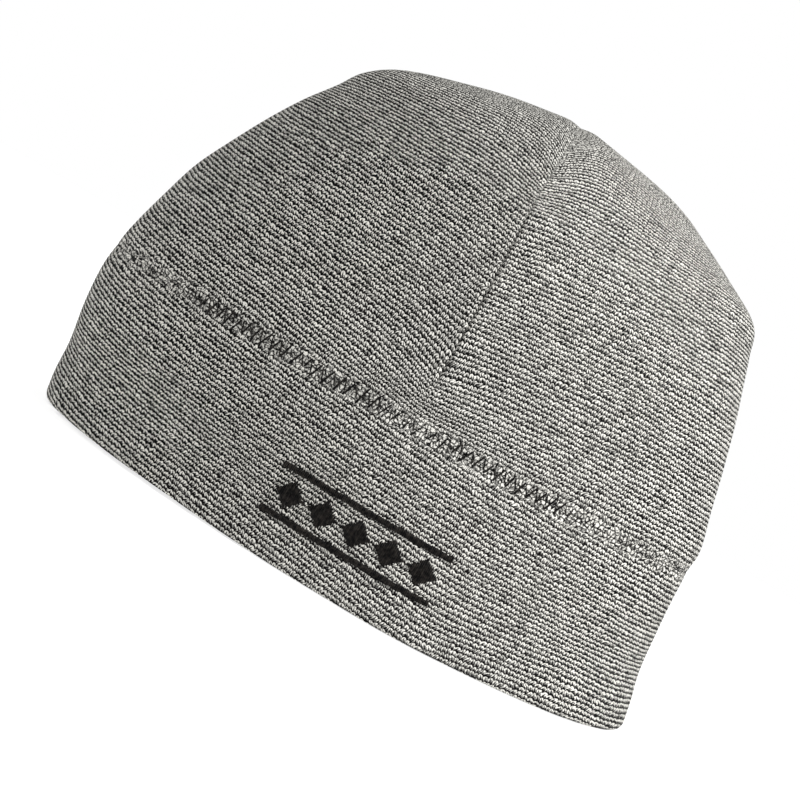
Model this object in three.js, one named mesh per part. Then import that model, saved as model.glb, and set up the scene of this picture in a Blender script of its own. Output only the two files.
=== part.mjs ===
import * as THREE from 'three';

// Knit-faced neoprene beanie that stands on its rim, as it does when no head fills it.
// Millimetres, +Z up, the front faces -Y. The origin is the middle of the rim, on the surface it stands on.
// The crown is one cut piece, closed by a dart at the front, over the top and by a seam down the back.
// The band is one strip round the head. Both are foam walls, and the seams join cut edge to cut edge.

const wallThickness = 2.6;
const seamHeight = 41.5;        // joint of band and crown
const seamGap = 0.3;            // clearance between the two cut edges
const edgeBevel = 0.45;         // the thread presses the outer corners of the cut edges down
const seamPinch = 0.7;          // how far the stitched joint draws both walls in
const seamPinchReach = 3.2;     // height over which it does so
const hemHeight = 2.0;          // outer rounding where the edge is turned in at the rim
const hemDepth = 1.2;
const hemInnerRadius = 0.4;
const seamX = 1.3;              // plane of the dart, of the seam over the top and of the back seam
const seamSlit = 0.3;           // space between the two edges of a closed seam
const dartTipHeight = 50;       // the dart ends here, above the band
const topCrease = 1.0;          // depth of the valley in which the seam over the top lies
const topCreaseWidth = 2.4;
const topCreaseStart = 84;      // height where the valley begins to show
const topSeamReach = 15;        // half length of the level stretch of seam on top
const facetAngle = 6;           // degrees between columns round the head
const seamColumnOffsets = [seamSlit / 2, 0.75, 3.0];
const fullSpacingRoom = 11;     // half width under which the columns beside a seam draw together

// Outline of the outer face, one row for each height.
// left, right, front and back are distances from the axis; middle is where the plan is deepest,
// along X; nose is the roundness of the front half, less than 2 for a slightly pointed front.
const sectionColumns = ['height', 'left', 'right', 'front', 'back', 'middle', 'nose'];
const sectionRows = [
  [0, 80.6, 84.3, 93.0, 92.8, 12.0, 1.82],
  [7, 81.6, 82.9, 92.9, 93.2, 12.0, 1.83],
  [15, 82.0, 81.0, 92.5, 93.5, 10.5, 1.86],
  [25, 83.4, 79.8, 92.2, 93.5, 8.0, 1.92],
  [34, 84.0, 79.1, 92.0, 93.3, 5.0, 1.95],
  [41.5, 83.6, 79.0, 91.6, 92.8, 3.0, 1.95],
  [48, 82.2, 79.0, 91.6, 92.5, 1.5, 1.95],
  [58, 79.5, 76.4, 91.0, 92.0, 1.3, 1.9],
  [68, 76.4, 74.0, 90.0, 91.0, 1.3, 1.88],
  [78, 71.4, 71.3, 88.5, 89.5, 1.3, 1.85],
  [87, 66.6, 68.4, 86.5, 87.0, 1.3, 1.82],
  [95, 61.6, 65.8, 84.2, 84.2, 1.3, 1.8],
  [102, 56.3, 62.9, 80.2, 80.4, 1.3, 1.8],
  [108, 52.1, 53.0, 74.6, 75.2, 1.3, 1.8],
  [113, 44.8, 43.3, 66.6, 67.8, 1.3, 1.8],
  [117, 32.6, 35.2, 55.8, 57.5, 1.3, 1.8],
  [120, 22.4, 25.0, 42.0, 44.0, 1.3, 1.85],
  [121.9, 13.0, 13.4, 28.0, 30.0, 1.3, 1.9],
  [122.6, 2.4, 5.0, 18.6, 20.6, 1.3, 2.0],
];
const backRoundness = 2.1;

// Embroidery on the band: two bars with a row of lozenges between them.
const stitchThickness = 0.8;
const stitchClearance = 0.3;
const motif = {
  middleX: 2.4, middleHeight: 15.2, width: 41.5, barHeight: 1.5, barOffset: 5.35,
  lozenges: 5, lozengePitch: 8.2, lozengeWidth: 6.8, lozengeHeight: 7.0, lozengeTip: 0.08,
};

const knitColour = '#868682';
const threadColour = '#18171a';

// Sections

const lastRow = sectionRows.length - 1;

function sectionAt(position) {
  // Catmull-Rom through the table's rows; position 0 is the first row and lastRow the last.
  const index = Math.min(Math.max(Math.floor(position), 0), lastRow - 1);
  const t = position - index;
  const row = (k) => sectionRows[Math.min(Math.max(k, 0), lastRow)];
  const [a, b, c, d] = [row(index - 1), row(index), row(index + 1), row(index + 2)];
  const section = {};
  sectionColumns.forEach((name, k) => {
    section[name] = 0.5 * (2 * b[k] + (c[k] - a[k]) * t
      + (2 * a[k] - 5 * b[k] + 4 * c[k] - d[k]) * t * t
      + (3 * b[k] - a[k] - 3 * c[k] + d[k]) * t * t * t);
  });
  return section;
}

function positionAtHeight(height) {
  // Inverse of the height column of sectionAt, by bisection.
  let low = 0;
  let high = lastRow;
  for (let step = 0; step < 40; step += 1) {
    const middle = (low + high) / 2;
    if (sectionAt(middle).height < height) low = middle;
    else high = middle;
  }
  return (low + high) / 2;
}

function plainPoint(angle, position) {
  // Angle 0 is +X, 90 degrees the back and 270 degrees the front.
  const s = sectionAt(position);
  const cosine = Math.cos(angle);
  const sine = Math.sin(angle);
  const power = 2 / (sine < 0 ? s.nose : backRoundness);
  const halfWidth = cosine > 0 ? s.right - s.middle : s.left + s.middle;
  const halfDepth = sine < 0 ? s.front : s.back;
  return new THREE.Vector3(
    s.middle + Math.sign(cosine) * halfWidth * Math.abs(cosine) ** power,
    Math.sign(sine) * halfDepth * Math.abs(sine) ** power,
    s.height,
  );
}

function angleAtX(x, isFront, position) {
  // The angle at which the outline of a section passes x, on its front or back half.
  const s = sectionAt(position);
  const side = Math.sign(x - s.middle) || 1;
  const halfWidth = side > 0 ? s.right - s.middle : s.left + s.middle;
  const power = 2 / (isFront ? s.nose : backRoundness);
  const share = Math.min(Math.abs(x - s.middle) / halfWidth, 1);
  const angle = Math.acos(side * share ** (1 / power));
  return isFront ? 2 * Math.PI - angle : angle;
}

function outwardNormal(angle, position) {
  const turn = 0.02;
  const step = 0.05;
  const inside = Math.min(Math.max(position, step), lastRow - step);
  const along = plainPoint(angle + turn, inside).sub(plainPoint(angle - turn, inside));
  const up = plainPoint(angle, inside + step).sub(plainPoint(angle, inside - step));
  return along.cross(up).normalize();
}

function creaseDepth(point) {
  // The seam over the top lies in a shallow valley between two soft lobes.
  const rise = THREE.MathUtils.smoothstep(point.z, topCreaseStart, sectionRows[lastRow][0]);
  return topCrease * rise * Math.exp(-(((point.x - seamX) / topCreaseWidth) ** 2));
}

function pinchDepth(height) {
  return seamPinch * Math.exp(-(((height - seamHeight) / seamPinchReach) ** 2));
}

function wallPoint(angle, position, depth) {
  // A point of the wall, depth millimetres in from its outer face.
  const point = plainPoint(angle, position);
  const inward = depth + creaseDepth(point) + pinchDepth(point.z);
  return point.addScaledVector(outwardNormal(angle, position), -inward);
}

// Columns run from the left edge of the back seam, by the left side, the front and the right side,
// to the right edge of the back seam. Those beside a seam keep their distance from its plane.

function plainColumns(fromDegrees, toDegrees) {
  const columns = [];
  for (let angle = fromDegrees; angle <= toDegrees; angle += facetAngle) {
    columns.push({ angle: THREE.MathUtils.degToRad(angle) });
  }
  return columns;
}

function seamColumns(isFront, side) {
  return seamColumnOffsets.map((offset, k) => ({ isFront, side, offset, isEdge: k === 0 }));
}

const leftColumns = [
  ...seamColumns(false, -1),
  ...plainColumns(90 + facetAngle, 270 - facetAngle),
  ...seamColumns(true, -1).reverse(),
];
const rightColumns = [
  ...seamColumns(true, 1),
  ...plainColumns(270 + facetAngle, 450 - facetAngle),
  ...seamColumns(false, 1).reverse(),
];
const columns = [...leftColumns, ...rightColumns];
const frontGapColumn = leftColumns.length - 1;

function columnAngle(column, position) {
  if (column.angle !== undefined) return column.angle;
  const section = sectionAt(position);
  const room = (section.right + section.left) / 2;
  const share = column.isEdge ? 1 : Math.min(1, room / fullSpacingRoom);
  const offset = column.offset * share;
  return angleAtX(seamX + column.side * offset, column.isFront, position);
}

// Meshes

function geometryOf(points, triangles) {
  const geometry = new THREE.BufferGeometry();
  const numbers = points.flatMap((p) => [p.x, p.y, p.z]);
  geometry.setAttribute('position', new THREE.Float32BufferAttribute(numbers, 3));
  geometry.setIndex(triangles);
  geometry.computeVertexNormals();
  return geometry;
}

function thickSheet(outer, inner, isOpen = () => false) {
  // A closed wall between two grids of points. outer[i][j] is row i from below, column j; open cells
  // are left out, and every edge that borders no cell is closed between the two faces.
  const rowCount = outer.length;
  const width = outer[0].length;
  const hasCell = (i, j) => i >= 0 && i < rowCount - 1 && j >= 0 && j < width - 1 && !isOpen(i, j);
  const out = (i, j) => i * width + j;
  const inn = (i, j) => (rowCount + i) * width + j;
  const triangles = [];
  const quad = (a, b, c, d) => triangles.push(a, b, c, a, c, d);
  for (let i = 0; i < rowCount - 1; i += 1) {
    for (let j = 0; j < width - 1; j += 1) {
      if (!hasCell(i, j)) continue;
      quad(out(i, j), out(i, j + 1), out(i + 1, j + 1), out(i + 1, j));
      quad(inn(i, j), inn(i + 1, j), inn(i + 1, j + 1), inn(i, j + 1));
      if (!hasCell(i - 1, j)) quad(out(i, j), inn(i, j), inn(i, j + 1), out(i, j + 1));
      if (!hasCell(i + 1, j)) quad(out(i + 1, j), out(i + 1, j + 1), inn(i + 1, j + 1), inn(i + 1, j));
      if (!hasCell(i, j - 1)) quad(out(i, j), out(i + 1, j), inn(i + 1, j), inn(i, j));
      if (!hasCell(i, j + 1)) quad(out(i, j + 1), inn(i, j + 1), inn(i + 1, j + 1), out(i + 1, j + 1));
    }
  }
  const used = [...new Set(triangles)];
  const place = new Map(used.map((index, k) => [index, k]));
  const points = [...outer.flat(), ...inner.flat()];
  return geometryOf(used.map((index) => points[index]), triangles.map((index) => place.get(index)));
}

function levelRow(height, depth, edgeDepthAt) {
  // One row of wall points at a height, pressed in a little more at the edges of a seam.
  const position = positionAtHeight(height);
  return columns.map((column, index) => {
    const extra = column.isEdge ? edgeDepthAt(column, height) : 0;
    const point = wallPoint(columnAngle(column, position), position, depth + extra);
    const side = index <= frontGapColumn ? -1 : 1;
    const beside = Math.max(side * (point.x - seamX), column.isEdge ? 0 : seamSlit);
    point.x = seamX + side * (column.isEdge ? seamSlit / 2 : beside);
    return point;
  });
}

function bandGeometry() {
  // Height, and depth of the outer and of the inner face below it.
  const rows = [];
  const hemSteps = 3;
  for (let k = 0; k <= hemSteps; k += 1) {
    const turn = (1 - k / hemSteps) * (Math.PI / 2);
    const innerDepth = wallThickness - (k === 0 ? hemInnerRadius : 0);
    rows.push([hemHeight * (1 - Math.sin(turn)), hemDepth * (1 - Math.cos(turn)), innerDepth]);
  }
  const top = seamHeight - seamGap / 2;
  [7, 15, 25, 34, 38.8, top - edgeBevel].forEach((height) => rows.push([height, 0, wallThickness]));
  rows.push([top, edgeBevel, wallThickness]);
  const bevelAtBack = (column) => (column.isFront ? 0 : edgeBevel);
  const face = (depthIndex, edgeDepth) => rows.map((row) => {
    const points = levelRow(row[0], row[depthIndex], edgeDepth);
    points.forEach((point) => point.setZ(row[0]));
    return points;
  });
  return thickSheet(face(1, bevelAtBack), face(2, () => 0));
}

function ridgeRow(depth) {
  // The level stretch of the seam on top: both halves end beside it, spaced evenly along Y.
  const height = sectionRows[lastRow][0] - topCrease - depth;
  const half = (group, side) => group.map((column, k) => new THREE.Vector3(
    seamX + side * (seamSlit / 2),
    side * topSeamReach * (2 * (k / (group.length - 1)) - 1),
    height,
  ));
  return [...half(leftColumns, -1), ...half(rightColumns, 1)];
}

function crownGeometry() {
  const bottom = seamHeight + seamGap / 2;
  const heights = [bottom, bottom + edgeBevel, 44.5, dartTipHeight,
    60, 70, 79, 87, 94, 100, 105, 109, 113, 116.5, 119.6, 121.6, sectionRows[lastRow][0]];
  const bevelAbove = (column, height) => (column.isFront && height <= dartTipHeight ? 0 : edgeBevel);
  const outer = heights.map((height, i) => levelRow(height, i === 0 ? edgeBevel : 0, bevelAbove));
  const inner = heights.map((height) => levelRow(height, wallThickness, () => 0));
  [0, 1].forEach((i) => [...outer[i], ...inner[i]].forEach((point) => point.setZ(heights[i])));
  outer.push(ridgeRow(edgeBevel));
  inner.push(ridgeRow(wallThickness));
  const isDart = (i, j) => j === frontGapColumn && i >= heights.indexOf(dartTipHeight);
  return thickSheet(outer, inner, isDart);
}

// Embroidery: flat outlines laid on the curved front of the band

function stitchedShape(centreX, centreHeight, width, halfHeightAt, columnCount) {
  // A raised field of satin stitch, each of its columns as high as the outline is there.
  const grid = (lift) => [-1, 1].map((side) => {
    const row = [];
    for (let k = 0; k <= columnCount; k += 1) {
      const offset = width * (k / columnCount - 0.5);
      const position = positionAtHeight(centreHeight + side * halfHeightAt(offset));
      row.push(wallPoint(angleAtX(centreX + offset, true, position), position, -lift));
    }
    return row;
  });
  return thickSheet(grid(stitchClearance + stitchThickness), grid(stitchClearance));
}

function barGeometry(side) {
  const height = motif.middleHeight + side * motif.barOffset;
  return stitchedShape(motif.middleX, height, motif.width, () => motif.barHeight / 2, 10);
}

function lozengeGeometry(index) {
  const x = motif.middleX + (index - (motif.lozenges - 1) / 2) * motif.lozengePitch;
  const halfHeightAt = (offset) => {
    const share = Math.max(1 - Math.abs(offset) / (motif.lozengeWidth / 2), motif.lozengeTip);
    return share * (motif.lozengeHeight / 2);
  };
  return stitchedShape(x, motif.middleHeight, motif.lozengeWidth, halfHeightAt, 4);
}

// Scene graph

const knit = new THREE.MeshStandardMaterial({ color: knitColour, roughness: 0.95, metalness: 0 });
const satinThread = new THREE.MeshStandardMaterial({ color: threadColour, roughness: 0.55, metalness: 0 });

const group = new THREE.Group();

function addPiece(name, geometry, material) {
  const mesh = new THREE.Mesh(geometry, material);
  mesh.name = name;
  group.add(mesh);
}

addPiece('crown', crownGeometry(), knit);
addPiece('band', bandGeometry(), knit);
addPiece('embroidery_bar_upper', barGeometry(1), satinThread);
addPiece('embroidery_bar_lower', barGeometry(-1), satinThread);
for (let k = 0; k < motif.lozenges; k += 1) {
  addPiece(`embroidery_lozenge_${k + 1}`, lozengeGeometry(k), satinThread);
}

export default group;
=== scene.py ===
import bpy
import math
import numpy as np
from functools import lru_cache
from mathutils import Matrix, Vector, noise


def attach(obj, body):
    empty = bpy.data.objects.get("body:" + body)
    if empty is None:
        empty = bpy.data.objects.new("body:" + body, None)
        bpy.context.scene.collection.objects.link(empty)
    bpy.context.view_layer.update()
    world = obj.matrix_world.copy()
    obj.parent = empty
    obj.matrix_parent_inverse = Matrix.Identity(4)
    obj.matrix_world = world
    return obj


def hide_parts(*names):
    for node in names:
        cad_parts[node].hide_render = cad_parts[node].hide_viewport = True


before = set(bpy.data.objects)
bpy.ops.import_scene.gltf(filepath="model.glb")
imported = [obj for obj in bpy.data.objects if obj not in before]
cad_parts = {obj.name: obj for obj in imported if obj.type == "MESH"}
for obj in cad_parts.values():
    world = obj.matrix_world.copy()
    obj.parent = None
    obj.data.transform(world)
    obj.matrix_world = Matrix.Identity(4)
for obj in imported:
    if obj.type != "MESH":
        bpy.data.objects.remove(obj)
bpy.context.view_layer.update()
scene = bpy.context.scene
mm = 0.001
print("frame loaded")

# small helpers

def linearColour(hexCode):
    channels = [int(hexCode[k:k + 2], 16) / 255 for k in (0, 2, 4)]
    return tuple(c / 12.92 if c <= 0.04045 else ((c + 0.055) / 1.055) ** 2.4 for c in channels) + (1.0,)


def addNode(tree, kind, inputs=None, **settings):
    node = tree.nodes.new(kind)
    for name, value in settings.items():
        setattr(node, name, value)
    for key, value in (inputs or {}).items():
        if isinstance(value, bpy.types.NodeSocket):
            tree.links.new(value, node.inputs[key])
        else:
            node.inputs[key].default_value = value
    return node


def sums(tree, operation, *values):
    node = addNode(tree, "ShaderNodeMath", {k: v for k, v in enumerate(values)}, operation=operation)
    return node.outputs[0]


def smoothStep(x, low, high):
    t = np.clip((x - low) / (high - low), 0, 1)
    return t * t * (3 - 2 * t)


# camera at the photograph's angle, above the floor, and rolled as the photograph is
camera = dict(place=(-3.7, -664.0, 59.0), pitch=1.407, roll=30.0, lens=120.15)
cameraData = bpy.data.cameras.new("camera")
cameraData.lens = camera["lens"]
cameraData.sensor_width = 36
cameraData.clip_start = 0.01
cameraObject = bpy.data.objects.new("camera", cameraData)
scene.collection.objects.link(cameraObject)
tilt = Matrix.Rotation(math.radians(90 - camera["pitch"]), 4, "X")
roll = Matrix.Rotation(math.radians(camera["roll"]), 4, "Z")
cameraObject.matrix_world = Matrix.Translation(Vector(camera["place"]) * mm) @ (tilt @ roll)
scene.camera = cameraObject
scene.view_settings.view_transform = "Standard"

# the outline of the hat, millimetres: one row for each height
sectionRows = np.array([
    # height, left, right, front, back, middle, nose
    [0, 80.6, 84.3, 93.0, 92.8, 12.0, 1.82],
    [7, 81.6, 82.9, 92.9, 93.2, 12.0, 1.83],
    [15, 82.0, 81.0, 92.5, 93.5, 10.5, 1.86],
    [25, 83.4, 79.8, 92.2, 93.5, 8.0, 1.92],
    [34, 84.0, 79.1, 92.0, 93.3, 5.0, 1.95],
    [41.5, 83.6, 79.0, 91.6, 92.8, 3.0, 1.95],
    [48, 82.2, 79.0, 91.6, 92.5, 1.5, 1.95],
    [58, 79.5, 76.4, 91.0, 92.0, 1.3, 1.9],
    [68, 76.4, 74.0, 90.0, 91.0, 1.3, 1.88],
    [78, 71.4, 71.3, 88.5, 89.5, 1.3, 1.85],
    [87, 66.6, 68.4, 86.5, 87.0, 1.3, 1.82],
    [95, 61.6, 65.8, 84.2, 84.2, 1.3, 1.8],
    [102, 56.3, 62.9, 80.2, 80.4, 1.3, 1.8],
    [108, 52.1, 53.0, 74.6, 75.2, 1.3, 1.8],
    [113, 44.8, 43.3, 66.6, 67.8, 1.3, 1.8],
    [117, 32.6, 35.2, 55.8, 57.5, 1.3, 1.8],
    [120, 22.4, 25.0, 42.0, 44.0, 1.3, 1.85],
    [121.9, 13.0, 13.4, 28.0, 30.0, 1.3, 1.9],
    [122.6, 2.4, 5.0, 18.6, 20.6, 1.3, 2.0],
])
hat = dict(
    wall=2.6, seamHeight=41.5, seamX=1.3, backRoundness=2.1,
    # the dart's line bows a little to the left between its tip and the top
    bowHeights=(50, 75, 97, 112, 122.6), frontBow=(0, -0.4, -1.2, -0.8, 0),
    topHeight=122.6, topCrease=1.0, creaseWidth=2.4, creaseStart=84.0, ridgeReach=15.0,
    # waves of the pinched joint: size, length, seed and how much the height counts
    pinch=0.28, pinchReach=3.0, pinchWaves=((0.18, 4.0, 7.0, 0.2), (0.12, 1.9, 3.0, 0.1)),
    # the sewn edge where crown and band meet: distance from the joint and depth of each ring
    sewnEdge=((0.02, 0.4), (0.06, 0.14), (0.2, 0.05), (0.45, 0.01), (0.8, 0.0)),
    disturbance=0.85, disturbedReach=2.3,
    dartTip=50.0, dartStart=(-3, 6), groove=0.7, grooveWidth=0.34, grooveLip=(0.3, 1.5, 0.9),
    grooveLoss=0.8, grooveFade=(88, 106), backGroove=0.8,
    keel=2.1, keelReach=14.0, keelEnd=30.0, slowWave=(0.12, 16.0, 1.0),
    # the cloth is drawn in under the dart's tip and stands out above it: size, x, height and both reaches
    tipDents=((1.1, 1.5, 45.0, 8, 2.0), (-0.5, -1.0, 50.5, 12, 3.2)), frontReach=60,
    # stitches get wider round the sides, less so at the back and on top
    sideStretch=2.6, backEase=1.2, easeDepth=(0, 45), easeHeight=(117, 121), farSide=75.0, farNarrowing=0.2,
    nearSeam=(0, 0.11, 0.22, 0.34, 0.5, 0.7, 1.0, 1.4, 2.0, 2.8, 4.0, 5.4), sideColumns=182,
)
lastRow = len(sectionRows) - 1


def sectionAt(position):
    # Catmull-Rom through the rows of the table
    index = np.clip(np.floor(position).astype(int), 0, lastRow - 1)
    t = (position - index)[..., None]
    a, b, c, d = (sectionRows[np.clip(index + k, 0, lastRow)] for k in (-1, 0, 1, 2))
    square, cube = 2 * a - 5 * b + 4 * c - d, 3 * b - a - 3 * c + d
    return 0.5 * (2 * b + (c - a) * t + square * t ** 2 + cube * t ** 3)


denseRows = np.linspace(0, lastRow, 6001)
denseHeights = np.maximum.accumulate(sectionAt(denseRows)[:, 0])


def rowAtHeight(height):
    return np.interp(height, denseHeights, denseRows)


def plainPoint(angle, position):
    # angle 0 is +X, 90 degrees the back, 270 degrees the front
    section = sectionAt(position)
    height, left, right, front, back, middle, nose = (section[..., k] for k in range(7))
    cosine, sine = np.cos(angle), np.sin(angle)
    power = 2 / np.where(sine < 0, nose, hat["backRoundness"])
    halfWidth = np.where(cosine > 0, right - middle, left + middle)
    halfDepth = np.where(sine < 0, front, back)
    x = middle + np.sign(cosine) * halfWidth * np.abs(cosine) ** power
    y = np.sign(sine) * halfDepth * np.abs(sine) ** power
    return np.stack([x, y, height + 0 * x], -1)


def outwardNormal(angle, position):
    inside = np.clip(position, 0.05, lastRow - 0.05)
    along = plainPoint(angle + 0.02, inside) - plainPoint(angle - 0.02, inside)
    up = plainPoint(angle, inside + 0.05) - plainPoint(angle, inside - 0.05)
    normal = np.cross(along, up)
    return normal / np.linalg.norm(normal, axis=-1, keepdims=True)


def angleAtX(x, isFront, position):
    left, right, middle, nose = sectionAt(np.array(position))[[1, 2, 5, 6]]
    side = 1 if x >= middle else -1
    halfWidth = right - middle if side > 0 else left + middle
    power = 2 / (nose if isFront else hat["backRoundness"])
    angle = math.acos(side * min(abs(x - middle) / halfWidth, 1) ** (1 / power))
    return 2 * math.pi - angle if isFront else angle


@lru_cache(maxsize=None)
def ringColumns(position):
    # angles and distances along the ring, from the back seam by the left, front and right to the back seam
    height = float(sectionAt(np.array(position))[0])
    bow = np.interp(height, hat["bowHeights"], hat["frontBow"])
    front = angleAtX(hat["seamX"] + bow, True, position)
    back = angleAtX(hat["seamX"], False, position)
    near = np.array(hat["nearSeam"])
    halves = []
    for end in (back, back + 2 * math.pi):
        dense = np.linspace(front, end, 1500)
        points = plainPoint(dense, np.full(dense.shape, float(position)))
        lengths = np.concatenate([[0], np.cumsum(np.linalg.norm(np.diff(points, axis=0), axis=1))])
        total = lengths[-1]
        close = near * min(1, total / 120)
        middle = np.linspace(close[-1], total - close[-1], hat["sideColumns"] + 2)[1:-1]
        distances = np.concatenate([close, middle, total - close[::-1]])
        halves.append((np.interp(distances, lengths, dense), distances))
    angles = np.concatenate([halves[0][0][::-1], halves[1][0][1:]])
    arcs = np.concatenate([-halves[0][1][::-1], halves[1][1][1:]])
    return angles, arcs


def seamDistances(arcs):
    # distance of each column from the front seam and from the back seam, along its ring
    fromFront = np.abs(arcs)
    total = np.where(arcs < 0, -arcs[0], arcs[-1])
    return fromFront, total - fromFront


def stitchPlaces(points, arcs):
    # place of each column along its course, 0 at the front seam
    steps = np.diff(points[:, :2], axis=0)
    lengths = np.linalg.norm(steps, axis=1)
    atBack = smoothStep(points[1:, 1], *hat["easeDepth"])
    onTop = smoothStep(points[1:, 2], *hat["easeHeight"])
    sideStretch = hat["sideStretch"] - hat["backEase"] * np.maximum(atBack, onTop)
    widths = np.maximum(np.abs(steps[:, 0]), lengths / sideStretch)
    sideShare = (points[1:, 0] + points[:-1, 0]) / (2 * hat["farSide"])
    widths = widths / (1 + hat["farNarrowing"] * sideShare ** 2)
    places = np.concatenate([[0], np.cumsum(widths)])
    return places - places[int(np.argmin(np.abs(arcs)))]


def clothWaves(points, size, seed):
    shift = Vector((seed, 0, 0))
    return np.array([noise.noise(Vector(point) / size + shift) for point in points])


def grooveShape(distance):
    # a narrow groove along a seam, with a low lip beside it
    size, middle, reach = hat["grooveLip"]
    lip = size * np.exp(-(((distance - middle) / reach) ** 2))
    return np.exp(-((distance / hat["grooveWidth"]) ** 2)) - lip


def besideJoint(height):
    # how much the loops are pulled about beside the joint of crown and band
    return hat["disturbance"] * np.exp(-(((height - hat["seamHeight"]) / hat["disturbedReach"]) ** 4))


def clothPoints(position, depth, isOuter, isCrown):
    # one ring of points of the wall, with what the seams do to the cloth
    angles, arcs = ringColumns(position)
    rows = np.full(angles.shape, float(position))
    points = plainPoint(angles, rows)
    x, height = points[:, 0], points[:, 2]
    inward = np.full(angles.shape, float(depth))
    rise = smoothStep(height, hat["creaseStart"], hat["topHeight"])
    inward += hat["topCrease"] * rise * np.exp(-(((x - hat["seamX"]) / hat["creaseWidth"]) ** 2))
    pinch = hat["pinch"]
    if isOuter:
        for size, length, seed, upright in hat["pinchWaves"]:
            pinch = pinch + size * clothWaves(points * [1, 1, upright], length, seed)
    inward += pinch * np.exp(-(((height - hat["seamHeight"]) / hat["pinchReach"]) ** 2))
    if isOuter:
        front, back = seamDistances(arcs)
        dartLow, dartHigh = (hat["dartTip"] + offset for offset in hat["dartStart"])
        dart = smoothStep(height, dartLow, dartHigh) if isCrown else 0
        fade = 1 - hat["grooveLoss"] * smoothStep(height, *hat["grooveFade"])
        inward += hat["groove"] * fade * (dart * grooveShape(front) + hat["backGroove"] * grooveShape(back))
        # the cloth falls away on both sides of the dart, which lies on a low keel
        keelShape = (1 - np.exp(-front / hat["keelReach"])) * np.exp(-front / hat["keelEnd"])
        inward += hat["keel"] * dart * keelShape
        waveSize, waveLength, waveSeed = hat["slowWave"]
        inward += waveSize * clothWaves(points, waveLength, waveSeed)
        if isCrown:
            for size, dentX, dentHeight, reachX, reachUp in hat["tipDents"]:
                dent = np.exp(-(((x - dentX) / reachX) ** 2 + ((height - dentHeight) / reachUp) ** 2))
                inward += size * dent * (front < hat["frontReach"])
    normal = outwardNormal(angles, rows)
    return points - normal * inward[:, None], arcs


# cloth shells: rows of rings, from the inner face by the lower edge to the outer face

def buildShell(name, rings, closed, materials, insideRows):
    # rings: list of (points, distances, level, disturbed); the ring's last point repeats its first
    count = len(rings[0][0]) - 1
    rowCount = len(rings)
    vertices = np.concatenate([ring[0][:-1] for ring in rings]) * mm
    faces, uvs, slots = [], [], []
    lastStart = rowCount if closed else rowCount - 1
    places = [stitchPlaces(ring[0], ring[1]) for ring in rings]
    for i in range(lastStart):
        k = (i + 1) % rowCount
        for j in range(count):
            n = (j + 1) % count
            faces.append((i * count + j, i * count + n, k * count + n, k * count + j))
            uvs += [(places[i][j], rings[i][2][j]), (places[i][j + 1], rings[i][2][j + 1]),
                    (places[k][j + 1], rings[k][2][j + 1]), (places[k][j], rings[k][2][j])]
            slots.append(1 if i < insideRows else 0)
    mesh = bpy.data.meshes.new(name)
    mesh.from_pydata(vertices.tolist(), [], faces)
    mesh.uv_layers.new(name="knitMap").data.foreach_set("uv", np.array(uvs, float).ravel())
    disturbed = mesh.attributes.new("disturbed", "FLOAT", "POINT")
    disturbed.data.foreach_set("value", np.concatenate([ring[3][:-1] for ring in rings]))
    for material in materials:
        mesh.materials.append(material)
    mesh.polygons.foreach_set("material_index", slots)
    mesh.polygons.foreach_set("use_smooth", [True] * len(faces))
    piece = bpy.data.objects.new(name, mesh)
    scene.collection.objects.link(piece)
    bpy.ops.object.select_all(action="DESELECT")
    piece.select_set(True)
    bpy.context.view_layer.objects.active = piece
    bpy.ops.object.mode_set(mode="EDIT")
    bpy.ops.mesh.select_all(action="SELECT")
    bpy.ops.mesh.remove_doubles(threshold=1e-6)
    bpy.ops.object.mode_set(mode="OBJECT")
    return piece


# materials

knit = dict(
    pitch=1.12, stitch=1.09, gap="060606", shadow="2e2d2c", body="807f7b", loop="dfddd6",
    # along X in millimetres: how far the cloth is under stretch, with painted shade added on the left, and
    # the share of painted light on the right side
    stretchAndShade=((-72, 1.0), (-50, 0.7), (-12, 0.1), (45, 0.0), (72, 0.7)), paintedLightRight=((-30, 0.0), (20, 1.0)),
    # colours across one course, from the gap up to the loops
    stops=((0.0, "gap"), (0.28, "gap"), (0.38, "shadow"), (0.52, "body"), (0.68, "body"), (0.78, "loop"),
           (1.0, "loop")),
    middle=0.51, lightest=0.99, relief=0.00022,
)


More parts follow.
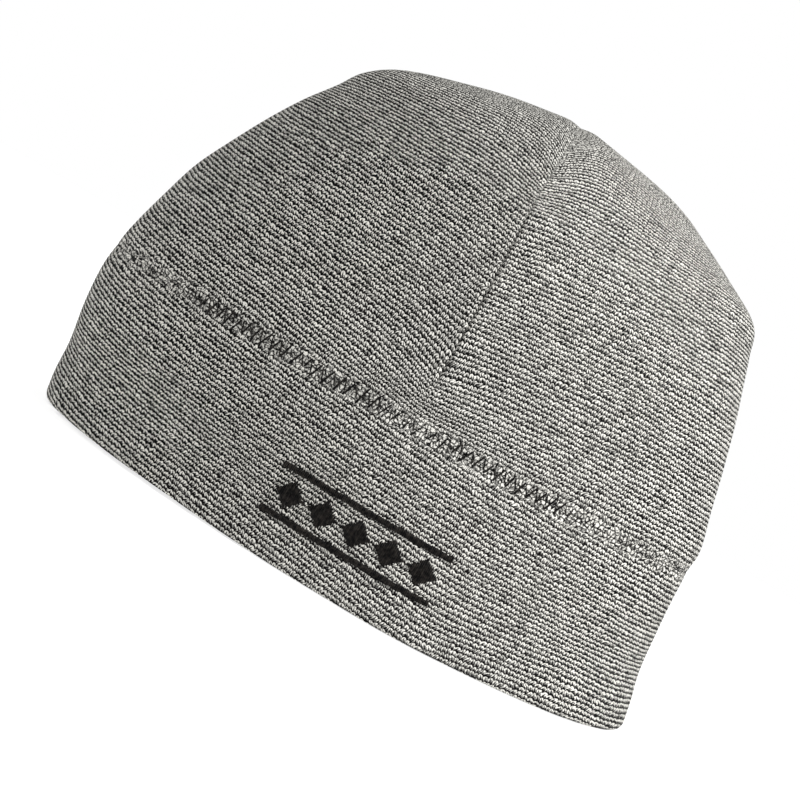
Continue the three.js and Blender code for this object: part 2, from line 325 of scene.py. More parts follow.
def knitFabric():
    # courses of melange knit: off-white loops in a row of arches, a grey body under them, then a dark gap
    material = bpy.data.materials.new("melangeKnit")
    material.use_nodes = True
    tree = material.node_tree
    shader = tree.nodes["Principled BSDF"]
    knitPlace = addNode(tree, "ShaderNodeUVMap", uv_map="knitMap").outputs[0]
    split = addNode(tree, "ShaderNodeSeparateXYZ", {0: knitPlace})
    along, across = split.outputs[0], split.outputs[1]
    disturbed = addNode(tree, "ShaderNodeAttribute", attribute_name="disturbed").outputs["Fac"]

    def waves(sizeU, sizeV, detail=0.0):
        # noise around 0 whose cells measure sizeU by sizeV millimetres
        sizes = {0: sums(tree, "DIVIDE", along, sizeU), 1: sums(tree, "DIVIDE", across, sizeV)}
        scaled = addNode(tree, "ShaderNodeCombineXYZ", sizes).outputs[0]
        inputs = {"Vector": scaled, "Scale": 1.0, "Detail": detail}
        noiseNode = addNode(tree, "ShaderNodeTexNoise", inputs, noise_dimensions="2D")
        return sums(tree, "SUBTRACT", noiseNode.outputs[0], 0.5)

    # the cloth's stretch round the sides opens the gaps between the courses; on the left the gaps are also
    # darkened as painted shade
    place = addNode(tree, "ShaderNodeTexCoord").outputs["Object"]
    placeSplit = addNode(tree, "ShaderNodeSeparateXYZ", {0: place})
    height = placeSplit.outputs[2]

    def byX(stops):
        # piecewise value along X, stops in millimetres
        spread = addNode(tree, "ShaderNodeMapRange", {0: placeSplit.outputs[0], 1: -0.1, 2: 0.1}).outputs[0]
        ramp = addNode(tree, "ShaderNodeValToRGB", {0: spread})
        ramp.color_ramp.elements.remove(ramp.color_ramp.elements[1])
        first = ramp.color_ramp.elements[0]
        first.position = (stops[0][0] + 100) / 200
        first.color = (stops[0][1],) * 3 + (1,)
        for x, value in stops[1:]:
            ramp.color_ramp.elements.new((x + 100) / 200).color = (value,) * 3 + (1,)
        return ramp.outputs[0]

    # painted shade: besides the real stretch round both sides, the left side gets deeper, darker gaps
    stretchAndShade = byX(knit["stretchAndShade"])
    # painted light: share of the right side where the gaps are painted lighter
    paintedLightRight = byX(knit["paintedLightRight"])

    # the courses waver slowly, and each stitch sits a little higher or lower
    slow = sums(tree, "MULTIPLY", waves(11.0, 8.0), 0.65)
    fine = sums(tree, "MULTIPLY", waves(2.3, 1.3), sums(tree, "MULTIPLY_ADD", disturbed, 0.7, 0.42))
    tiny = sums(tree, "MULTIPLY", waves(0.8, 0.7), sums(tree, "MULTIPLY_ADD", disturbed, 0.7, 0.22))
    level = sums(tree, "ADD", across, sums(tree, "ADD", slow, sums(tree, "ADD", fine, tiny)))
    wide = sums(tree, "MULTIPLY", waves(4.0, 1.6), 1.3)
    narrow = sums(tree, "MULTIPLY", waves(1.4, 0.9), sums(tree, "MULTIPLY_ADD", disturbed, 1.0, 0.35))
    sideways = sums(tree, "ADD", wide, narrow)
    stitches = sums(tree, "ADD", sums(tree, "DIVIDE", along, knit["stitch"]), sideways)
    stitchPlace = sums(tree, "FRACT", stitches)
    rest = sums(tree, "SUBTRACT", 1.0, stitchPlace)
    arch = sums(tree, "MULTIPLY", sums(tree, "MULTIPLY", stitchPlace, rest), 4.0)
    archDepth = sums(tree, "MULTIPLY_ADD", stretchAndShade, 0.04, -0.34)
    courses = sums(tree, "MULTIPLY_ADD", arch, archDepth, sums(tree, "DIVIDE", level, knit["pitch"]))
    coursePlace = sums(tree, "FRACT", courses)
    cellNumbers = {0: sums(tree, "FLOOR", stitches), 1: sums(tree, "FLOOR", courses)}
    cell = addNode(tree, "ShaderNodeCombineXYZ", cellNumbers).outputs[0]
    random = addNode(tree, "ShaderNodeTexWhiteNoise", {"Vector": cell}, noise_dimensions="2D")
    randomSplit = addNode(tree, "ShaderNodeSeparateColor", {0: random.outputs["Color"]})
    strands = waves(0.24, 0.34)

    # the gap is wider on some stitches, and its upper edge has fine dark teeth
    teethDepth = sums(tree, "MULTIPLY_ADD", stretchAndShade, -0.03, 0.19)
    teethWave = sums(tree, "SINE", sums(tree, "MULTIPLY", stitches, 4 * math.pi))
    teeth = sums(tree, "MULTIPLY", teethWave, teethDepth)
    frayed = sums(tree, "MULTIPLY_ADD", strands, 0.5, -0.08)
    uneven = sums(tree, "MULTIPLY_ADD", randomSplit.outputs[2], 0.16, frayed)
    lifted = sums(tree, "MULTIPLY_ADD", disturbed, 0.07, coursePlace)
    profile = sums(tree, "ADD", lifted, sums(tree, "ADD", teeth, uneven))
    fromEdge = sums(tree, "PINGPONG", coursePlace, 0.5)
    inside = addNode(tree, "ShaderNodeMapRange", {0: fromEdge, 1: 0.0, 2: 0.06}).outputs[0]
    profile = sums(tree, "MULTIPLY", profile, inside)

    # more contrast where the cloth is under stretch and where shade is painted on the left; on the right the
    # gaps are painted lighter as painted light, most of all high up
    opened = sums(tree, "MULTIPLY_ADD", stretchAndShade, 0.75, 1.0)
    contrast = sums(tree, "MULTIPLY_ADD", paintedLightRight, -0.12, opened)
    centred = sums(tree, "SUBTRACT", profile, knit["middle"])
    profile = sums(tree, "MULTIPLY_ADD", centred, contrast, knit["middle"])
    paintedLightByHeight = {0: height, 1: 0.065, 2: 0.1, 3: 0.035, 4: 0.075}
    high = addNode(tree, "ShaderNodeMapRange", paintedLightByHeight).outputs[0]
    profile = sums(tree, "ADD", profile, sums(tree, "MULTIPLY", paintedLightRight, high))

    # on the top the cloth is seen along its stitches, so that dark lines run between them too
    onTop = addNode(tree, "ShaderNodeMapRange", {0: height, 1: 0.092, 2: 0.112, 4: 0.42}).outputs[0]
    betweenRange = {0: sums(tree, "PINGPONG", stitches, 0.5), 1: 0.02, 2: 0.17, 3: 1.0, 4: 0.0}
    between = addNode(tree, "ShaderNodeMapRange", betweenRange).outputs[0]
    darker = sums(tree, "MULTIPLY", sums(tree, "SUBTRACT", 0.2, between), onTop)
    profile = sums(tree, "ADD", profile, darker)

    # beside the seams the loops are pulled about: small cells instead of courses
    flat = addNode(tree, "ShaderNodeCombineXYZ", {0: along, 1: sums(tree, "ADD", across, tiny)}).outputs[0]
    cells = addNode(tree, "ShaderNodeTexVoronoi", {"Vector": flat, "Scale": 1.0},
                    voronoi_dimensions="2D", feature="DISTANCE_TO_EDGE")
    tornRange = {0: cells.outputs["Distance"], 1: 0.0, 2: 0.24, 3: 0.02, 4: 0.97}
    torn = addNode(tree, "ShaderNodeMapRange", tornRange).outputs[0]
    tornShare = sums(tree, "MULTIPLY", disturbed, 0.68)
    profile = addNode(tree, "ShaderNodeMix", {0: tornShare, 2: profile, 3: torn}).outputs[0]
    ramp = addNode(tree, "ShaderNodeValToRGB", {0: profile})
    ramp.color_ramp.elements.remove(ramp.color_ramp.elements[1])
    ramp.color_ramp.elements[0].color = linearColour(knit[knit["stops"][0][1]])
    for at, name in knit["stops"][1:]:
        ramp.color_ramp.elements.new(at).color = linearColour(knit[name])

    # each stitch is its own mix of light and dark fibre
    melange = sums(tree, "MULTIPLY_ADD", randomSplit.outputs[0], 0.42, 0.77)
    darkStitch = sums(tree, "GREATER_THAN", randomSplit.outputs[1], 0.96)
    melange = sums(tree, "MULTIPLY", melange, sums(tree, "MULTIPLY_ADD", darkStitch, -0.4, 1.0))
    blotch = sums(tree, "MULTIPLY_ADD", waves(6.0, 3.0, 2.0), 0.14, 1.0)
    fibre = sums(tree, "MULTIPLY_ADD", waves(0.22, 0.28), 1.5, 1.0)
    mixed = sums(tree, "MULTIPLY", sums(tree, "MULTIPLY", melange, blotch), fibre)
    shade = sums(tree, "MINIMUM", mixed, knit["lightest"])
    tint = addNode(tree, "ShaderNodeCombineColor", {0: shade, 1: shade, 2: shade}).outputs[0]
    coloured = addNode(tree, "ShaderNodeMix", {0: 1.0, 6: ramp.outputs[0], 7: tint},
                       data_type="RGBA", blend_type="MULTIPLY")
    tree.links.new(coloured.outputs[2], shader.inputs["Base Color"])

    relief = addNode(tree, "ShaderNodeMapRange", {0: profile, 1: 0.15, 2: 0.8}).outputs[0]
    relief = sums(tree, "ADD", relief, sums(tree, "MULTIPLY", strands, 0.5))
    bump = addNode(tree, "ShaderNodeBump", {"Strength": 0.6, "Distance": knit["relief"], "Height": relief})
    tree.links.new(bump.outputs[0], shader.inputs["Normal"])
    shader.inputs["Roughness"].default_value = 0.95
    shader.inputs["Specular IOR Level"].default_value = 0.08
    return material


def jerseyLining():
    # smooth fine jersey on the inner face: plain grey with a very fine rib
    material = bpy.data.materials.new("jerseyLining")
    material.use_nodes = True
    tree = material.node_tree
    shader = tree.nodes["Principled BSDF"]
    place = addNode(tree, "ShaderNodeUVMap", uv_map="knitMap").outputs[0]
    split = addNode(tree, "ShaderNodeSeparateXYZ", {0: place})
    rib = sums(tree, "PINGPONG", split.outputs[0], 0.35)
    loops = sums(tree, "PINGPONG", split.outputs[1], 0.25)
    height = sums(tree, "ADD", rib, sums(tree, "MULTIPLY", loops, 0.6))
    ramp = addNode(tree, "ShaderNodeValToRGB", {0: sums(tree, "MULTIPLY", height, 2.0)})
    ramp.color_ramp.elements[0].color = linearColour("3a3b3e")
    ramp.color_ramp.elements[1].color = linearColour("5c5e62")
    tree.links.new(ramp.outputs[0], shader.inputs["Base Color"])
    bump = addNode(tree, "ShaderNodeBump", {"Strength": 0.4, "Distance": 0.00015, "Height": height})
    tree.links.new(bump.outputs[0], shader.inputs["Normal"])
    shader.inputs["Roughness"].default_value = 0.9
    return material


melangeKnit = knitFabric()
lining = jerseyLining()

# band: one strip round the head, rounded where it is turned in at the rim

band = dict(
    hemHeight=2.0, hemDepth=1.2, innerRadius=0.5,
    # the courses: their height at four heights of the band, their tilt, and how they bow round the front
    courseRows=((0, 12, 28, 41.5), (1.7, 13.0, 28.2, 41.5)), tilt=3.2,
    bowl=0.085, bowlMiddle=24.0, bowlReach=35.0, bowlRound=25, bowlHeights=(8, 30),
    wideBowl=0.022, wideMiddle=18, wideRound=150, wideStart=12,
    sideEase=0.03, sideFrom=(55, 95), sideHeight=25,
    # the rim: lifted at places along the ring, and leaning out in front
    easeTop=16, liftHeight=0.5, liftPlaces=((-130, -95, -45, -12), (0, 1, 1, 0)),
    flare=1.6, flareMiddle=20.0, flareReach=13.0,
    innerHeights=(36, 30, 24, 18, 12, 7, 3, 1.2), ringStep=1.15,
)


def easeRim(points, arcs, height):
    # the edge stands a little off the table at one side, and leans out at the other
    low = 1 - smoothStep(height, 0, band["easeTop"])
    points[:, 1] -= band["flare"] * np.exp(-(((arcs - band["flareMiddle"]) / band["flareReach"]) ** 2)) * low
    points[:, 2] = height + band["liftHeight"] * np.interp(arcs, *band["liftPlaces"]) * low


def bandRing(height, depth, isOuter):
    position = rowAtHeight(max(height, 0))
    points, arcs = clothPoints(position, depth, isOuter, False)
    easeRim(points, arcs, height)
    level = np.interp(height, *band["courseRows"]) + math.tan(math.radians(band["tilt"])) * arcs
    wide = np.sqrt((arcs - band["wideMiddle"]) ** 2 + band["wideRound"]) - band["wideStart"]
    level -= band["wideBowl"] * wide
    level += band["sideEase"] * smoothStep(np.abs(arcs), *band["sideFrom"]) * (band["sideHeight"] - height)
    bowl = band["bowl"] * band["bowlReach"] * (1 - smoothStep(height, *band["bowlHeights"]))
    fromMiddle = np.sqrt((arcs - band["bowlMiddle"]) ** 2 + band["bowlRound"])
    level -= bowl * np.tanh(fromMiddle / band["bowlReach"])
    return points, arcs, level, besideJoint(height) + 0 * arcs


def bandShell():
    rings = []
    top = hat["seamHeight"]
    for height in (top - hat["sewnEdge"][0][0],) + band["innerHeights"]:
        rings.append(bandRing(height, hat["wall"], False))
    for k in range(1, 5):
        a = math.radians(90 * k / 4)
        height = band["innerRadius"] * (1 - math.sin(a))
        rings.append(bandRing(height, hat["wall"] - band["innerRadius"] * (1 - math.cos(a)), False))
    insideRows = len(rings) - 1
    for k in range(7):
        a = math.radians(90 * (1 - k / 7))
        height = band["hemHeight"] * (1 - math.sin(a))
        rings.append(bandRing(height, band["hemDepth"] * (1 - math.cos(a)), True))
    for height in np.arange(band["hemHeight"], top - 1.0, band["ringStep"]):
        rings.append(bandRing(height, 0, True))
    for drop, depth in hat["sewnEdge"][::-1]:
        rings.append(bandRing(top - drop, depth, True))
    return buildShell("knit_band", rings, True, [melangeKnit, lining], insideRows)


bandPiece = bandShell()
print("band", len(bandPiece.data.polygons), "faces")

# crown: one piece of cloth, closed by the dart, over the top and down the back

crown = dict(
    # height of each ring: the outer face has more of them where it turns over to the top
    lowRings=(43.0, 95, 1.15), highRings=(95, 113, 0.95),
    topRings=(113.2, 114.2, 115.2, 116.1, 117, 117.8, 118.5, 119.2, 119.8, 120.4, 120.9, 121.3, 121.7,
              122.0, 122.3, 122.5),
    innerRings=(122.5, 121.9, 121, 119.5, 117.5, 115, 112, 109, 105, 100, 95, 89, 83, 76, 69, 62, 55, 49, 45),
    ridgeShares=(0.3, 0.55, 0.75, 0.9, 1.0), ridgeNarrowing=0.3, valleyEnd=0.3,
    # the courses: pairs are for the left and the right of the dart, and rates scale the length of the cloth
    courseTilt=0.03, dipStart=9.4, dipReach=(90.0, 60.0), dipHeights=(41, 50, 62, 75, 92, 103, 112, 122),
    dipSlopes=((0.105, 0.105, 0.106, 0.108, 0.12, 0.105, 0.09, 0.08),
               (0.05, 0.06, 0.09, 0.12, 0.15, 0.13, 0.11, 0.09)),
    rightRise=((50, 75, 95), (0.0, 2.2, 2.6)),
    tipDip=(3.0, 2.2), tipReach=(8.0, 14.0), tipRise=(42, 49), tipFall=(51, 68),
    tipRound=12, roundFall=(46, 54),
    stretchHeights=(78, 88, 97, 104, 110, 115, 118.5, 120.3, 121.8),
    stretch=(1.0, 1.0, 0.98, 0.87, 0.72, 0.55, 0.42, 0.42, 0.75), backShare=0.6, backFrom=(0, 40),
    shoulderHeights=(76, 83, 92, 100, 106, 112, 118), shoulderReach=(4.0, 50.0),
    shoulderRates=((0, 0, 0.02, 0.08, 0.2, 0.2, 0.1), (0, 0.04, 0.14, 0.18, 0.15, 0.1, 0.0)),
    topHeights=(95, 104, 111, 115.5, 120), topDip=((0, 4.0, 7.0, 9.0, 10.0), (0, 6.0, 10.0, 13.0, 14.0)),
    topReach=5.5,
    # the dart's stitches disturb the loops a little
    dartDisturbance=0.15, dartDisturbedReach=2.0, dartDisturbedFrom=(46, 52),
)


def crownRings():
    # points and distances of each ring, from the top down inside, and from the joint up outside
    joint = hat["seamHeight"]
    innerRings, outerRings = [], []
    for height in crown["innerRings"] + (joint + hat["sewnEdge"][0][0],):
        points, arcs = clothPoints(rowAtHeight(height), hat["wall"], False, True)
        if height < crown["innerRings"][-1]:
            points[:, 2] = height
        innerRings.append((points, arcs))
    for rise, depth in hat["sewnEdge"]:
        points, arcs = clothPoints(rowAtHeight(joint + rise), depth, True, True)
        points[:, 2] = joint + rise
        outerRings.append((points, arcs))
    outerHeights = [*np.arange(*crown["lowRings"]), *np.arange(*crown["highRings"]), *crown["topRings"]]
    for height in outerHeights + [hat["topHeight"]]:
        outerRings.append(clothPoints(rowAtHeight(height), 0, True, True))
    return innerRings, outerRings


def ridgeRing(ring, arcs, share, depth):
    # between the highest ring and the seam on top, which lies in a valley between two lobes
    half = len(arcs) // 2
    reach = hat["ridgeReach"]
    spread = np.concatenate([1 + arcs[:half + 1] / -arcs[0], arcs[half + 1:] / arcs[-1]])
    alongSeam = np.concatenate([reach * (1 - 2 * spread[:half + 1]), reach * (2 * spread[half + 1:] - 1)])
    target = np.stack([np.full(arcs.shape, hat["seamX"]), alongSeam, 0 * arcs], -1)
    points = ring * (1 - share) + target * share
    valley = hat["topCrease"] * smoothStep(share, 0, 1) + crown["valleyEnd"] * share ** 6
    points[:, 2] = ring[:, 2] * (1 - share) + (hat["topHeight"] - depth) * share - valley * share
    return points


def courseLevels(outerRings):
    # how far up the cloth each point is, with the courses dipping to the dart
    levels = [np.zeros(len(outerRings[0][1]))]
    for (below, _), (points, arcs) in zip(outerRings, outerRings[1:]):
        step = np.linalg.norm(points - below, axis=1)
        z = points[:, 2]
        rate = np.interp(z, crown["stretchHeights"], crown["stretch"])
        rate += crown["backShare"] * (1 - rate) * smoothStep(points[:, 1], *crown["backFrom"])
        leftRate, rightRate = (np.interp(z, crown["shoulderHeights"], row) for row in crown["shoulderRates"])
        fromSeam = np.minimum(*seamDistances(arcs))
        rate += np.where(arcs < 0, leftRate, rightRate) * smoothStep(fromSeam, *crown["shoulderReach"])
        levels.append(levels[-1] + step * rate)
    result = []
    for (points, arcs), level in zip(outerRings, levels):
        z = points[:, 2]
        distance = np.sqrt(arcs ** 2 + crown["tipRound"] * (1 - smoothStep(z, *crown["roundFall"])))
        side = (arcs > 0).astype(int)
        leftSlope, rightSlope = (np.interp(z, crown["dipHeights"], row) for row in crown["dipSlopes"])
        slope = np.where(side, rightSlope, leftSlope)
        reach = np.take(crown["dipReach"], side)
        rise = side * np.interp(z, *crown["rightRise"])
        dip = crown["dipStart"] + rise - slope * reach * np.tanh(distance / reach)
        nearTip = smoothStep(z, *crown["tipRise"]) * (1 - smoothStep(z, *crown["tipFall"]))
        tip = np.take(crown["tipDip"], side) * nearTip * np.exp(-distance / np.take(crown["tipReach"], side))
        leftDip, rightDip = (np.interp(z, crown["topHeights"], row) for row in crown["topDip"])
        fromSeam = np.minimum(*seamDistances(arcs))
        atTop = np.where(arcs < 0, leftDip, rightDip) * np.exp(-fromSeam / crown["topReach"])
        result.append(level + crown["courseTilt"] * arcs + dip + tip + atTop)
    return result


def crownShell():
    innerRings, outerRings = crownRings()
    topPoints, topArcs = outerRings[-1]
    for share in crown["ridgeShares"]:
        narrower = topArcs * (1 - crown["ridgeNarrowing"] * share)
        outerRings.append((ridgeRing(topPoints, topArcs, share, 0), narrower))
    innerTop, innerArcs = innerRings[0]
    for share in (0.5, 1.0):
        innerRings.insert(0, (ridgeRing(innerTop, innerArcs, share, hat["wall"]), innerArcs))
    rings = [(points, arcs, points[:, 2], 0 * arcs) for points, arcs in innerRings]
    insideRows = len(rings)
    for (points, arcs), level in zip(outerRings, courseLevels(outerRings)):
        z = points[:, 2]
        atDart = crown["dartDisturbance"] * np.exp(-((arcs / crown["dartDisturbedReach"]) ** 2))
        disturbed = np.maximum(besideJoint(z), atDart * smoothStep(z, *crown["dartDisturbedFrom"]))
        rings.append((points, arcs, level + hat["seamHeight"], disturbed))
    return buildShell("knit_crown", rings, False, [melangeKnit, lining], insideRows)


crownPiece = crownShell()
print("crown", len(crownPiece.data.polygons), "faces")

for piece, node in ((crownPiece, "crown"), (bandPiece, "band")):
    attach(piece, "root")
    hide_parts(node)

# threads: one stitch is modelled as a short arched length of thread, and copied along the seams

thread = dict(
    # the second colour is for the small flecks of painted sheen on the thread
    colour="050506", sheenColour="2c2926", sides=6, cuts=6, endDrop=0.25, waverPlaces=8,
    # heights are rounded to this step, so that stitches share the rings they lie on
    heightStep=0.25, frontReach=90,
)
zigzag = dict(
    pitch=2.9, top=43.4, bottom=39.9, radii=(0.22, 0.17), rise=0.1, waver=0.22,
    shiftAlong=0.22, shiftUp=0.35, sinks=(0.0, 0.08), sinkSpread=0.1,
    # the knit swallows the thread away from the front
    clearFrom=-50.0, clearTo=35.0, fade=10.0, buried=0.42, backBuried=0.6,
    knotShare=0.6, knot=1.3, knotBelow=0.3, knotRadius=0.27, knotSink=0.02, knotWaver=0.05,
)
crossStitch = dict(
    pitch=2.3, reach=0.6, radius=0.12, sink=0.45, sinkSpread=0.15, shiftUp=0.4,
    frontStart=51.0, backStart=2.5, top=98.0, highest=119.5,
)
satin = dict(
    spacing=0.42, radius=0.24, rise=0.38, endSpread=0.12, depthSpread=0.11,
    middleX=2.4, middleHeight=15.2, width=41.5, barHeight=1.5, barOffset=5.35,
    lozenges=5, lozengePitch=8.2, lozengeWidth=6.8, lozengeHeight=7.0, lozengeTip=0.08,
)


def blackThread():
    # near-black polyester thread: a soft gloss, small random flecks painted lighter and browner as painted
    # sheen, fine twist
    material = bpy.data.materials.new("blackThread")
    material.use_nodes = True
    tree = material.node_tree
    shader = tree.nodes["Principled BSDF"]
    place = addNode(tree, "ShaderNodeTexCoord").outputs["Object"]
    # painted sheen: small random flecks mixed toward a lighter brown
    sheenFlecks = addNode(tree, "ShaderNodeTexNoise", {"Vector": place, "Scale": 1300.0, "Detail": 2.0}).outputs[0]
    ramp = addNode(tree, "ShaderNodeValToRGB", {0: sheenFlecks})
    ramp.color_ramp.elements[0].position = 0.4
    ramp.color_ramp.elements[0].color = linearColour(thread["colour"])
    ramp.color_ramp.elements[1].position = 0.72
    ramp.color_ramp.elements[1].color = linearColour(thread["sheenColour"])
    tree.links.new(ramp.outputs[0], shader.inputs["Base Color"])
    twist = addNode(tree, "ShaderNodeTexNoise", {"Vector": place, "Scale": 4200.0, "Detail": 1.0}).outputs[0]
    bump = addNode(tree, "ShaderNodeBump", {"Strength": 0.5, "Distance": 0.00006, "Height": twist})
    tree.links.new(bump.outputs[0], shader.inputs["Normal"])
    shader.inputs["Roughness"].default_value = 0.4
    shader.inputs["Specular IOR Level"].default_value = 0.08
    return material


threadMaterial = blackThread()


@lru_cache(maxsize=None)
def ringOfHeight(height):
    points, arcs = clothPoints(float(rowAtHeight(height)), 0, True, height > hat["seamHeight"])
    easeRim(points, arcs, height)
    return points, arcs


def clothRing(height):
    return ringOfHeight(roundedHeight(height))


def roundedHeight(height):
    return round(height / thread["heightStep"]) * thread["heightStep"]


def clothAt(arc, height):
    # a point of the outer face and its normal, from the distance along the ring and the height
    points, arcs = clothRing(height)
    position = float(rowAtHeight(roundedHeight(height)))
    angle = np.interp(arc, arcs, ringColumns(position)[0])
    point = Vector([np.interp(arc, arcs, points[:, k]) for k in range(3)])
    return point, Vector(outwardNormal(np.array([angle]), np.array([position]))[0])


def arcAtX(x, height):
    points, arcs = clothRing(height)
    isFront = np.abs(arcs) < thread["frontReach"]
    return float(np.interp(x, points[isFront, 0], arcs[isFront]))


def modelStitch(radius, rise):
    # one metre long along X until it is laid, its ends bent down into the cloth
    bpy.ops.object.select_all(action="DESELECT")
    bpy.ops.mesh.primitive_cylinder_add(vertices=thread["sides"], radius=radius * mm, depth=1.0,
                                        rotation=(0, math.pi / 2, 0))
    stitch = bpy.context.object
    bpy.ops.object.transform_apply(rotation=True)
    bpy.ops.object.mode_set(mode="EDIT")
    bpy.ops.mesh.select_all(action="DESELECT")
    bpy.ops.object.mode_set(mode="OBJECT")
    for edge in stitch.data.edges:
        a, b = (stitch.data.vertices[k].co for k in edge.vertices)
        edge.select = abs(a.x - b.x) > 0.5
    bpy.ops.object.mode_set(mode="EDIT")
    bpy.ops.mesh.select_mode(type="EDGE")
    bpy.ops.mesh.subdivide(number_cuts=thread["cuts"])
    bpy.ops.object.mode_set(mode="OBJECT")
    for vertex in stitch.data.vertices:
        share = abs(2 * vertex.co.x)
        vertex.co.z += (rise * (1 - share ** 3) - thread["endDrop"] * share ** 6) * mm
    isSide = [len(face.vertices) == 4 for face in stitch.data.polygons]
    stitch.data.polygons.foreach_set("use_smooth", isSide)
    stitch.data.materials.append(threadMaterial)
    return stitch


def layStitches(name, stitch, runs, waver=0.0):
    # copies the model stitch to each run: (start, end, normal, sink), millimetres
    rng = np.random.default_rng(len(name))
    copies = []
    for start, end, normal, sink in runs:
        across = normal.cross(end - start).normalized()
        outward = (end - start).cross(across).normalized()
        length = (end - start).length
        copy = stitch.copy()
        copy.data = stitch.data.copy()
        if waver:
            bends = rng.uniform(-waver, waver, thread["waverPlaces"] + 1)
            for vertex in copy.data.vertices:
                place = (vertex.co.x + 0.5) * thread["waverPlaces"]
                k = min(int(place), thread["waverPlaces"] - 1)
                vertex.co.z += (bends[k] + (bends[k + 1] - bends[k]) * (place - k)) * mm
        along = (end - start).normalized() * length * mm
        middle = ((start + end) / 2 - outward * sink) * mm
        copy.data.transform(Matrix((
            (along.x, across.x, outward.x, middle.x), (along.y, across.y, outward.y, middle.y),
            (along.z, across.z, outward.z, middle.z), (0, 0, 0, 1))))
        scene.collection.objects.link(copy)
        copies.append(copy)
    bpy.data.objects.remove(stitch)
    bpy.ops.object.select_all(action="DESELECT")
    for copy in copies:
        copy.select_set(True)
    bpy.context.view_layer.objects.active = copies[0]
    bpy.ops.object.join()
    piece = bpy.context.object
    piece.name = piece.data.name = name
    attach(piece, "root")
    return piece


def zigzagSeam():
    # V after V of thread over the joint of band and crown; the knit swallows part of each one
    rng = np.random.default_rng(41)
    arcs = clothRing(hat["seamHeight"])[1]
    total = arcs[-1] - arcs[0]
    count = int(total / zigzag["pitch"]) * 2
    step = total / count
    ends = []
    for k in range(count):
        height = zigzag["top"] if k % 2 else zigzag["bottom"]
        along = arcs[0] + (k + rng.uniform(-zigzag["shiftAlong"], zigzag["shiftAlong"])) * step
        ends.append((along, height + rng.uniform(-zigzag["shiftUp"], zigzag["shiftUp"])))
    ends.append((ends[0][0] + arcs[-1] - arcs[0], ends[0][1]))

    def wrapped(arc):
        return arc - total if arc > arcs[-1] else max(arc, arcs[0])

    arms = ([], [])
    for k, ((arcA, heightA), (arcB, heightB)) in enumerate(zip(ends, ends[1:])):
        start, normalA = clothAt(wrapped(arcA), heightA)
        end, normalB = clothAt(wrapped(arcB), heightB)
        beyond = max(zigzag["clearFrom"] - start.x, start.x - zigzag["clearTo"])
        covered = smoothStep(beyond, 0, zigzag["fade"]) if start.y < 0 else zigzag["backBuried"]
        sink = zigzag["sinks"][k % 2] + float(zigzag["buried"] * covered)
        sink += rng.uniform(0, zigzag["sinkSpread"])
        arms[k % 2].append((start, end, (normalA + normalB).normalized(), sink))
    for name, radius, runs in zip(("zigzag_rising", "zigzag_falling"), zigzag["radii"], arms):
        layStitches(name, modelStitch(radius, zigzag["rise"]), runs, zigzag["waver"])
    # the two threads lock in a small dark knot at most of the lower points
    knots = []
    for start, end, normal, sink in arms[0]:
        if rng.random() < zigzag["knotShare"]:
            up = (end - start).normalized() * zigzag["knot"]
            low, high = start - up * zigzag["knotBelow"], start + up * (1 - zigzag["knotBelow"])
            knots.append((low, high, normal, sink + zigzag["knotSink"]))
    layStitches("zigzag_knots", modelStitch(zigzag["knotRadius"], zigzag["rise"]), knots, zigzag["knotWaver"])


def closingStitches():
    # short stitches deep in the groove of the dart and down the back
    rng = np.random.default_rng(5)
    reach, shift = crossStitch["reach"], crossStitch["shiftUp"]
    runs = []
    for atFront, height in ((True, crossStitch["frontStart"]), (False, crossStitch["backStart"])):
        while height < crossStitch["top"]:
            arcs = clothRing(height)[1]
            arcA, arcB = (-reach, reach) if atFront else (arcs[-1] - reach, arcs[0] + reach)
            start, normalA = clothAt(arcA, height)
            end, normalB = clothAt(arcB, height + rng.uniform(-shift, shift))
            sink = crossStitch["sink"] + rng.uniform(0, crossStitch["sinkSpread"])
            runs.append((start, end, (normalA + normalB).normalized(), sink))
            # how far the cloth runs while the height grows by a millimetre
            seam = 0.0 if atFront else arcs[0]
            lift = clothAt(seam, min(height + 1, crossStitch["highest"]))[0] - clothAt(seam, height)[0]
            height += crossStitch["pitch"] / max(lift.length, 1.0)
    layStitches("seam_thread", modelStitch(crossStitch["radius"], 0.0), runs)


def satinRuns(centreX, centreHeight, width, halfHeightAt):
    # upright stitches side by side, each as long as the shape is high there
    rng = np.random.default_rng(int(centreX * 10 + centreHeight * 100))
    spread, depth = satin["endSpread"], satin["depthSpread"]
    runs = []
    count = int(width / satin["spacing"])
    for k in range(count + 1):
        offset = width * (k / count - 0.5)
        half = halfHeightAt(offset)
        low = centreHeight - half + rng.uniform(-spread, spread)
        high = centreHeight + half + rng.uniform(-spread, spread)
        start, normalA = clothAt(arcAtX(centreX + offset, low), low)
        end, normalB = clothAt(arcAtX(centreX + offset, high), high)
        start.z, end.z = low, high
        runs.append((start, end, (normalA + normalB).normalized(), rng.uniform(-depth, depth)))
    return runs


def satinPiece(name, runs, node):
    piece = layStitches(name, modelStitch(satin["radius"], satin["rise"]), runs)
    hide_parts(node)


def barHalf(offset):
    return satin["barHeight"] / 2


def lozengeHalf(offset):
    share = max(1 - abs(offset) / (satin["lozengeWidth"] / 2), satin["lozengeTip"])
    return share * satin["lozengeHeight"] / 2


def embroidery():
    for name, side in (("upper", 1), ("lower", -1)):
        height = satin["middleHeight"] + side * satin["barOffset"]
        runs = satinRuns(satin["middleX"], height, satin["width"], barHalf)
        satinPiece("satin_bar_" + name, runs, "embroidery_bar_" + name)
    for k in range(satin["lozenges"]):
        x = satin["middleX"] + (k - (satin["lozenges"] - 1) / 2) * satin["lozengePitch"]
        runs = satinRuns(x, satin["middleHeight"], satin["lozengeWidth"], lozengeHalf)
        satinPiece("satin_lozenge_" + str(k + 1), runs, "embroidery_lozenge_" + str(k + 1))


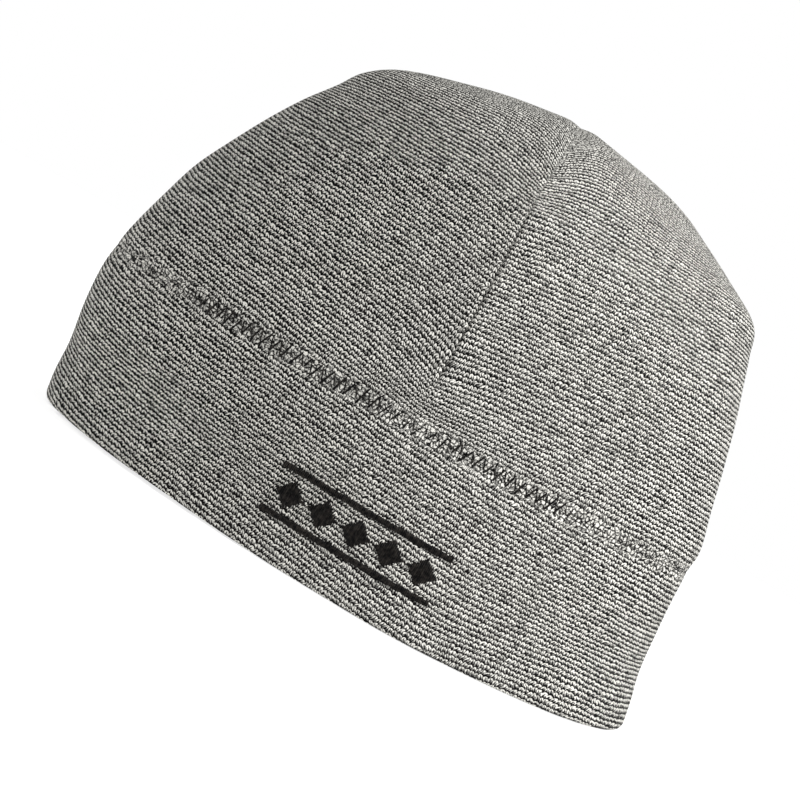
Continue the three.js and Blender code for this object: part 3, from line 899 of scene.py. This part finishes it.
zigzagSeam()
closingStitches()
print("seam threads laid")
embroidery()
print("embroidery laid")

# plain pale floor, white ground and soft light from the right, the front and above

studio = dict(
    floorSize=6.0, floorDrop=0.0002, floorColour=0.4, floorGlow=0.78, horizon=0.2, zenith=0.88,
    keyPower=39.0, keySize=0.9, keyPlace=(1.15, -0.95, 1.3), keyAim=(0, 0, 0.06),
)


def studioFloor():
    bpy.ops.object.select_all(action="DESELECT")
    bpy.ops.mesh.primitive_plane_add(size=studio["floorSize"], location=(0, 0, -studio["floorDrop"]))
    floor = bpy.context.object
    floor.name = "floor"
    material = bpy.data.materials.new("paleFloor")
    material.use_nodes = True
    shader = material.node_tree.nodes["Principled BSDF"]
    shader.inputs["Base Color"].default_value = (studio["floorColour"],) * 3 + (1,)
    shader.inputs["Roughness"].default_value = 0.9
    shader.inputs["Emission Color"].default_value = (1, 1, 1, 1)
    shader.inputs["Emission Strength"].default_value = studio["floorGlow"]
    floor.data.materials.append(material)


def studioLight():
    world = bpy.data.worlds.new("whiteGround")
    scene.world = world
    world.use_nodes = True
    tree = world.node_tree
    background = tree.nodes["Background"]
    # white behind the hat, and a soft sky over it that is brightest straight above
    rays = addNode(tree, "ShaderNodeLightPath").outputs["Is Camera Ray"]
    direction = addNode(tree, "ShaderNodeTexCoord").outputs["Generated"]
    upward = addNode(tree, "ShaderNodeSeparateXYZ", {0: direction}).outputs[2]
    sky = sums(tree, "MULTIPLY_ADD", sums(tree, "MAXIMUM", upward, 0.0), studio["zenith"], studio["horizon"])
    strength = sums(tree, "MAXIMUM", rays, sky)
    tree.links.new(strength, background.inputs[1])
    background.inputs[0].default_value = (1, 1, 1, 1)
    key = bpy.data.lights.new("key", "AREA")
    key.energy = studio["keyPower"]
    key.size = studio["keySize"]
    keyObject = bpy.data.objects.new("key", key)
    keyObject.location = studio["keyPlace"]
    aim = Vector(studio["keyAim"]) - keyObject.location
    keyObject.rotation_euler = aim.to_track_quat("-Z", "Y").to_euler()
    scene.collection.objects.link(keyObject)


studioFloor()
studioLight()
print("stage ready")
